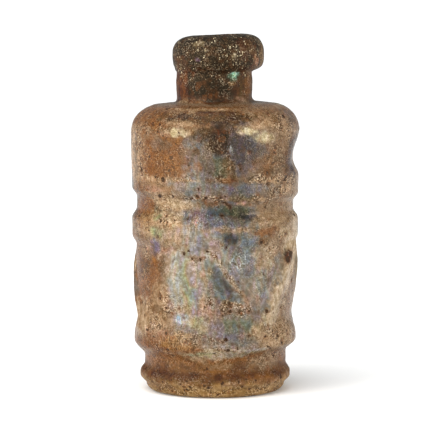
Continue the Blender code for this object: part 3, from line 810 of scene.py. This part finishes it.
def bottle_mesh():
    """The vessel's mesh, with colours and shares on its points."""
    surface = moulded_surface()
    tint, shares, sunk = paint(surface)
    relief = weathered_relief(surface, shares["flecks"], sunk)
    points = surface.points + outward(surface) * relief[:, None]
    mesh = bpy.data.meshes.new("bottle_glass")
    mesh.from_pydata(points * MM, [], grid_faces(surface.rows))
    mesh.update()
    mesh.shade_smooth()
    colours = mesh.attributes.new("tint", "FLOAT_COLOR", "POINT")
    colours.data.foreach_set("color", np.column_stack((np.clip(tint, 0, 1), np.ones(len(tint)))).ravel())
    for name, values in shares.items():
        layer = mesh.attributes.new(name, "FLOAT", "POINT")
        layer.data.foreach_set("value", np.clip(values, 0.0, 1.0))
    mesh.materials.append(glass_material())
    mesh.materials.append(lining_material())
    lining = [all(surface.side[corner] == INSIDE for corner in face.vertices) for face in mesh.polygons]
    mesh.polygons.foreach_set("material_index", np.array(lining, dtype=np.int32))
    return mesh


# ----- Material -----

Cloud = namedtuple("Cloud", "size detail low high")
Dots = namedtuple("Dots", "size amount seed")
Skin = namedtuple("Skin", "place upright grain film flecks glints rust pits")

SOIL_DARK = "5e3818"
SOIL_PALE = "a87a48"
SOIL_LIGHT = "6e4220"
DARK_SPOT = "2e1a0c"
SPOT_HALO = "8e5226"
PALE_FLECK = "e8d2b4"
# Glint, sparkle and silver are the colours of painted glints
GLINT = "e2d2ae"
SPARKLE = "745f44"
SILVER = "ccd2d6"
FILM_COLOURS = ("7a6a9a", "5a7a8a", "7fa0a0", "98a878", "c0b080", "c09080", "a080a0")

# Soft noise of a size and detail, stretched from low to high, and turned over where low is the larger
GRAIN = Cloud(0.36, 3.0, 0.36, 0.64)
WEAR = Cloud(0.8, 2.0, 0.42, 0.58)
BLOTCHES = Cloud(1.4, 3.0, 0.52, 0.36)
FILM_BANDS = Cloud(1.6, 0.6, 0.3, 0.7)
CRUMB_GRAINS = Cloud(0.36, 2.0, 0.54, 0.63)
HOLLOWS = Cloud(0.4, 2.0, 0.47, 0.4)
CLUSTERS = Cloud(4.0, 1.0, 0.4, 0.56)
SPARKLES = Cloud(0.3, 1.0, 0.56, 0.66)
GLINT_GROUPS = Cloud(2.0, 2.0, 0.42, 0.6)
STROKES = Cloud(0.28, 1.0, 0.6, 0.68)
SOIL = Cloud(2.0, 3.0, 0.35, 0.65)

# Darkest and palest red, green and blue of grain and wear: blue changes the most
GRAIN_TONES = ((0.4, 1.66), (0.28, 1.76), (0.12, 1.9))
WEAR_TONES = ((0.8, 1.18), (0.77, 1.21), (0.7, 1.3))

# Dots in a share of the cells of a size, and the halos round the larger ones
SPOTS = Dots(1.5, 0.4, 3.7)
SPECKS = Dots(0.8, 0.55, 5.3)
GLINTS = Dots(0.36, 0.26, 9.1)
DOT_WIDTHS = (0.16, 0.42)
DOT_EDGE = (-0.02, 0.05)
HALO_SPREAD = 0.14

# Share of spots between clusters and in them, and how spots stray out of round
CLUSTER_ENDS = (0.3, 1.0)
STRAY_SCALE = 2.0
STRAY_REACH = 1.2

UPRIGHT_STRETCH = (1.0, 1.0, 0.35)
HOLLOW_SHIFT = (7.0, 3.0, 5.0)

# Amount of one thing by another: its low and high, and the amounts there unless 0 and 1
GRIT_BY_FLECKS = (0.0, 0.4, 0.2, 1.0)
HOLLOWS_BY_FLECKS = (0.05, 0.55)
SPOTS_BY_FLECKS = (0.0, 0.3, 0.38, 1.0)
SPOTS_BY_GLINTS = (0.0, 0.6, 1.0, 0.0)
HALOS_BY_FILM = (0.2, 0.9, 0.45, 0.15)
SPARKLE_BY_FILM = (0.2, 0.0, 0.0, 0.4)
GLINTS_BY_FILM = (0.6, 0.2)
RELIEF_BY_FILM = (0.1, 0.7, 1.0, 0.35)
ROUGHNESS_BY_GRAIN = (0.3, 0.7, 0.16, 0.36)
PITS_BY_WEAR = (0.72, 0.86)

BLOTCH_STRENGTH = 0.6
FILM_STRENGTH = 0.5
SPECK_STRENGTH = 0.95
PIT_GRAIN = 0.6
FILM_ROUGHNESS = 0.2
CRUST_ROUGHNESS = 0.7
SPOT_DEPTH = 0.7

# Values on the shaders' sockets. The lining mirrors nothing, because it doesn't bend light
GLASS = {"IOR": 1.5, "Specular IOR Level": 0.18, "Specular Tint": (1.0, 0.80, 0.55, 1.0)}
LINING = {"IOR": 1.0, "Roughness": 0.9}


def new_material(name, settings):
    """A material, its node tree and its shader, with values set on the shader's sockets."""
    material = bpy.data.materials.new(name)
    material.use_nodes = True
    shader = material.node_tree.nodes["Principled BSDF"]
    for socket, value in settings.items():
        shader.inputs[socket].default_value = value
    return material, material.node_tree, shader


def add(kind, inputs, **settings):
    """Add a node to its inputs' tree, with its settings, and feed each input a value or a socket."""
    sockets = {name: value for name, value in inputs.items() if isinstance(value, bpy.types.NodeSocket)}
    tree = next(iter(sockets.values())).id_data
    made = tree.nodes.new("ShaderNode" + kind)
    for name, value in settings.items():
        setattr(made, name, value)
    for name, value in inputs.items():
        if name in sockets:
            tree.links.new(value, made.inputs[name])
        else:
            made.inputs[name].default_value = value
    return made


def share(tree, name, kind="Fac"):
    """The value or colour that the mesh carries under this name."""
    made = tree.nodes.new("ShaderNodeAttribute")
    made.attribute_name = name
    return made.outputs[kind]


def calculate(operation, first, second, clamp=True):
    """Two values' result, kept between 0 and 1 unless told otherwise."""
    return add("Math", {0: first, 1: second}, operation=operation, use_clamp=clamp).outputs[0]


def product(first, *others):
    for value in others:
        first = calculate("MULTIPLY", first, value)
    return first


def vector(operation, first, second):
    """Two vectors' result, or a vector scaled by a number."""
    inputs = {0: first, "Scale" if operation == "SCALE" else 1: second}
    return add("VectorMath", inputs, operation=operation).outputs[0]


def millimetres(tree):
    """Each point's place on the object, in millimetres."""
    return vector("SCALE", tree.nodes.new("ShaderNodeTexCoord").outputs["Object"], 1.0 / MM)


def ranged(value, low, high, to_low=0.0, to_high=1.0):
    """Stretch a value's range from low to high over another range, softly."""
    inputs = {"Value": value, "From Min": low, "From Max": high, "To Min": to_low, "To Max": to_high}
    return add("MapRange", inputs, interpolation_type="SMOOTHSTEP").outputs["Result"]


def blend(factor, under, over, mode="MIX"):
    """Lay one colour over another. Each is a socket or a colour's code."""
    inputs = {0: factor, 6: under, 7: over}
    for name in (6, 7):
        if isinstance(inputs[name], str):
            inputs[name] = (*linear(inputs[name]), 1.0)
    return add("Mix", inputs, data_type="RGBA", blend_type=mode).outputs[2]


def blend_values(factor, under, over):
    return add("Mix", {0: factor, 2: under, 3: over}, data_type="FLOAT").outputs[0]


def soft_noise(place, cloud):
    """A cloud's noise, before it is stretched."""
    inputs = {"Vector": place, "Scale": 1.0 / cloud.size, "Detail": cloud.detail, "Roughness": 0.6}
    return add("TexNoise", inputs).outputs["Fac"]


def clouded(place, cloud, ends=(0.0, 1.0)):
    """A cloud's noise, stretched between two ends."""
    return ranged(soft_noise(place, cloud), cloud.low, cloud.high, *ends)


def toned(value, cloud, tones):
    """A shade between the tones' dark and pale, from a cloud's noise."""
    channels = zip(("Red", "Green", "Blue"), tones)
    levels = {channel: ranged(value, cloud.low, cloud.high, *ends) for channel, ends in channels}
    return add("CombineColor", levels).outputs[0]


def dots(place, kind, spread=0.0):
    """Dots of one kind, each of its own width and wider by the spread."""
    shifted = vector("ADD", place, (kind.seed, kind.seed * 2.0, kind.seed * 3.0))
    cells = add("TexVoronoi", {"Vector": shifted, "Scale": 1.0 / kind.size})
    chance = add("SeparateColor", {"Color": cells.outputs["Color"]})
    picked = calculate("LESS_THAN", chance.outputs[0], kind.amount)
    narrowest, widest = DOT_WIDTHS
    width = ranged(chance.outputs[1], 0.0, 1.0, narrowest + spread, widest + spread)
    inside = calculate("SUBTRACT", width, cells.outputs["Distance"], clamp=False)
    return product(ranged(inside, *DOT_EDGE), picked)


def grained(skin, colour):
    """Grain, strongest in crumbs and glinting crust, then wear, and blotches of soil in the rust."""
    grit = calculate("MAXIMUM", ranged(skin.flecks, *GRIT_BY_FLECKS), skin.glints)
    colour = blend(grit, colour, toned(skin.grain, GRAIN, GRAIN_TONES), "MULTIPLY")
    wear = toned(soft_noise(skin.place, WEAR), WEAR, WEAR_TONES)
    colour = blend(1.0, colour, wear, "MULTIPLY")
    blotches = product(clouded(skin.place, BLOTCHES), skin.rust, BLOTCH_STRENGTH)
    return blend(blotches, colour, SOIL_LIGHT)


def filmed(skin, colour):
    """The film's changing colours."""
    ramp = add("ValToRGB", {"Fac": soft_noise(skin.upright, FILM_BANDS)})
    stops = ramp.color_ramp.elements
    first, *between, last = np.linspace(FILM_BANDS.low, FILM_BANDS.high, len(FILM_COLOURS))
    stops[0].position = first
    stops[1].position = last
    for position in between:
        stops.new(position)
    for stop, code in zip(stops, FILM_COLOURS):
        stop.color = (*linear(code), 1.0)
    return blend(product(skin.film, FILM_STRENGTH), colour, ramp.outputs["Color"], "OVERLAY")


def crumbled(skin, colour):
    """Crumbled skin: pale crumbs, which stand out and are given too, with dark hollows between."""
    crumbs = product(clouded(skin.place, CRUMB_GRAINS), skin.flecks)
    colour = blend(crumbs, colour, PALE_FLECK)
    hollows = clouded(vector("ADD", skin.place, HOLLOW_SHIFT), HOLLOWS)
    hollows = product(hollows, ranged(skin.flecks, *HOLLOWS_BY_FLECKS))
    return blend(hollows, colour, DARK_SPOT), crumbs


def spotted(skin, colour):
    """Dark spots with brown halos, specks and the mesh's pits, which lie deep and are given too."""
    drift = add("TexNoise", {"Vector": skin.place, "Scale": STRAY_SCALE, "Detail": 1.0})
    astray = vector("ADD", skin.place, vector("SCALE", drift.outputs["Color"], STRAY_REACH))
    clusters = product(
        clouded(skin.place, CLUSTERS, CLUSTER_ENDS),
        ranged(skin.flecks, *SPOTS_BY_FLECKS),
        ranged(skin.glints, *SPOTS_BY_GLINTS),
    )
    halos = product(dots(astray, SPOTS, HALO_SPREAD), clusters, ranged(skin.film, *HALOS_BY_FILM))
    colour = blend(halos, colour, SPOT_HALO)
    specks = product(dots(astray, SPECKS), SPECK_STRENGTH)
    spots = calculate("MAXIMUM", dots(astray, SPOTS), specks)
    worn = calculate("ADD", skin.pits, product(skin.grain, PIT_GRAIN), clamp=False)
    pits = ranged(worn, *PITS_BY_WEAR)
    spots = calculate("MAXIMUM", product(spots, clusters), pits)
    return blend(spots, colour, DARK_SPOT), spots


def glinting(skin, colour):
    """Painted glints in the base colour: sparkle and pale glints in the crust, and silver strokes in the
    film.
    """
    sparkle = product(clouded(skin.place, SPARKLES), skin.glints, ranged(skin.film, *SPARKLE_BY_FILM))
    colour = blend(sparkle, colour, SPARKLE)
    groups = product(clouded(skin.place, GLINT_GROUPS), skin.glints)
    glints = product(dots(skin.place, GLINTS), groups, ranged(skin.film, *GLINTS_BY_FILM))
    colour = blend(glints, colour, GLINT)
    strokes = product(clouded(skin.upright, STROKES), skin.film, skin.glints)
    return blend(strokes, colour, SILVER)


def glass_material():
    """Weathered glass: the mesh's colours and shares, and all that is finer than its points."""
    material, tree, shader = new_material("weathered_glass", GLASS)
    place = millimetres(tree)
    upright = vector("MULTIPLY", place, UPRIGHT_STRETCH)
    grain = soft_noise(place, GRAIN)
    shares = (share(tree, name) for name in ("film", "flecks", "glints", "rust", "pits"))
    skin = Skin(place, upright, grain, *shares)
    colour = filmed(skin, grained(skin, share(tree, "tint", "Color")))
    colour, crumbs = crumbled(skin, colour)
    colour, spots = spotted(skin, colour)

    rough = blend_values(skin.film, ranged(grain, *ROUGHNESS_BY_GRAIN), FILM_ROUGHNESS)
    relief = product(grain, ranged(skin.film, *RELIEF_BY_FILM))
    relief = calculate("ADD", relief, crumbs, clamp=False)
    relief = calculate("SUBTRACT", relief, product(spots, SPOT_DEPTH), clamp=False)
    bump = add("Bump", {"Height": relief, "Strength": 0.6, "Distance": 0.24 * MM})
    sockets = {
        "Base Color": glinting(skin, colour),
        "Roughness": blend_values(share(tree, "crust"), rough, CRUST_ROUGHNESS),
        "Transmission Weight": share(tree, "clear"),
        "Normal": bump.outputs["Normal"],
    }
    for name, value in sockets.items():
        tree.links.new(value, shader.inputs[name])
    return material


def lining_material():
    """The soil that clings to the inner side of the glass."""
    material, tree, shader = new_material("soil_lining", LINING)
    soil = blend(clouded(millimetres(tree), SOIL), SOIL_DARK, SOIL_PALE)
    tree.links.new(soil, shader.inputs["Base Color"])
    return material


# ----- Stage -----

VIEW_DISTANCE = 598.0
VIEW_HEIGHT = 100.5
VIEW_SIDE = 0.2
VIEW_PITCH = 5.62
VIEW_ANGLE = 9.876

# How much light the backdrop gives, and how bright the camera sees it
BACKDROP_LIGHT = 0.4
BACKDROP_SEEN = 1.1
FLOOR_PAPER = {"Base Color": (0.97, 0.975, 0.98, 1.0), "Roughness": 0.9, "Specular IOR Level": 0.0}


def placed(name, data):
    made = bpy.data.objects.new(name, data)
    bpy.context.scene.collection.objects.link(made)
    return made


def camera():
    data = bpy.data.cameras.new("view")
    data.sensor_width = 36.0
    data.angle = np.radians(VIEW_ANGLE)
    data.clip_end = 50.0
    eye = placed("view", data)
    eye.location = Vector((VIEW_SIDE, -VIEW_DISTANCE, VIEW_HEIGHT)) * MM
    eye.rotation_euler = (np.radians(90.0 - VIEW_PITCH), 0.0, 0.0)
    bpy.context.scene.camera = eye


def floor():
    mesh = bpy.data.meshes.new("floor")
    half = 15.0
    corners = [(-half, -half, 0), (half, -half, 0), (half, half, 0), (-half, half, 0)]
    mesh.from_pydata(corners, [], [(0, 1, 2, 3)])
    material, _, _ = new_material("floor", FLOOR_PAPER)
    mesh.materials.append(material)
    sheet = placed("floor", mesh)
    sheet.location.z = -0.1 * MM


def aimed(light, turn, elevation, distance):
    """Hang a light in a direction from the bottle, and aim it at the bottle's middle."""
    lamp = placed(light.name, light)
    turn, elevation = np.radians(turn), np.radians(elevation)
    away = Vector((np.sin(turn) * np.cos(elevation), -np.cos(turn) * np.cos(elevation), np.sin(elevation)))
    lamp.location = Vector((0.0, 0.0, BOTTLE_TOP / 2.0)) + away * distance
    lamp.rotation_euler = away.to_track_quat("Z", "Y").to_euler()


def softbox(name, turn, power):
    light = bpy.data.lights.new(name, "AREA")
    light.color = (1.0, 0.94, 0.84)
    light.shape = "RECTANGLE"
    light.size = 0.44
    light.size_y = 0.13
    light.energy = power
    aimed(light, turn, elevation=8.0, distance=0.9)


def backdrop():
    """A pale backdrop, brighter to the camera than the light that it gives."""
    world = bpy.data.worlds.new("studio")
    world.use_nodes = True
    tree = world.node_tree
    sheet = tree.nodes["Background"]
    sheet.inputs["Color"].default_value = (0.95, 0.98, 1.0, 1.0)
    seen = tree.nodes.new("ShaderNodeLightPath").outputs["Is Camera Ray"]
    tree.links.new(ranged(seen, 0.0, 1.0, BACKDROP_LIGHT, BACKDROP_SEEN), sheet.inputs["Strength"])
    bpy.context.scene.world = world


def lights():
    overhead = bpy.data.lights.new("overhead", "SUN")
    overhead.energy = 2.8
    overhead.angle = np.radians(72.0)
    aimed(overhead, turn=-40.0, elevation=57.0, distance=0.5)
    softbox("key", turn=-54.0, power=7.9)
    softbox("fill", turn=60.0, power=7.2)


def main():
    glass = placed("bottle_glass", bottle_mesh())
    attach(glass, "root")
    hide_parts("bottle")
    camera()
    floor()
    backdrop()
    lights()
    bpy.context.scene.view_settings.view_transform = "Standard"


main()
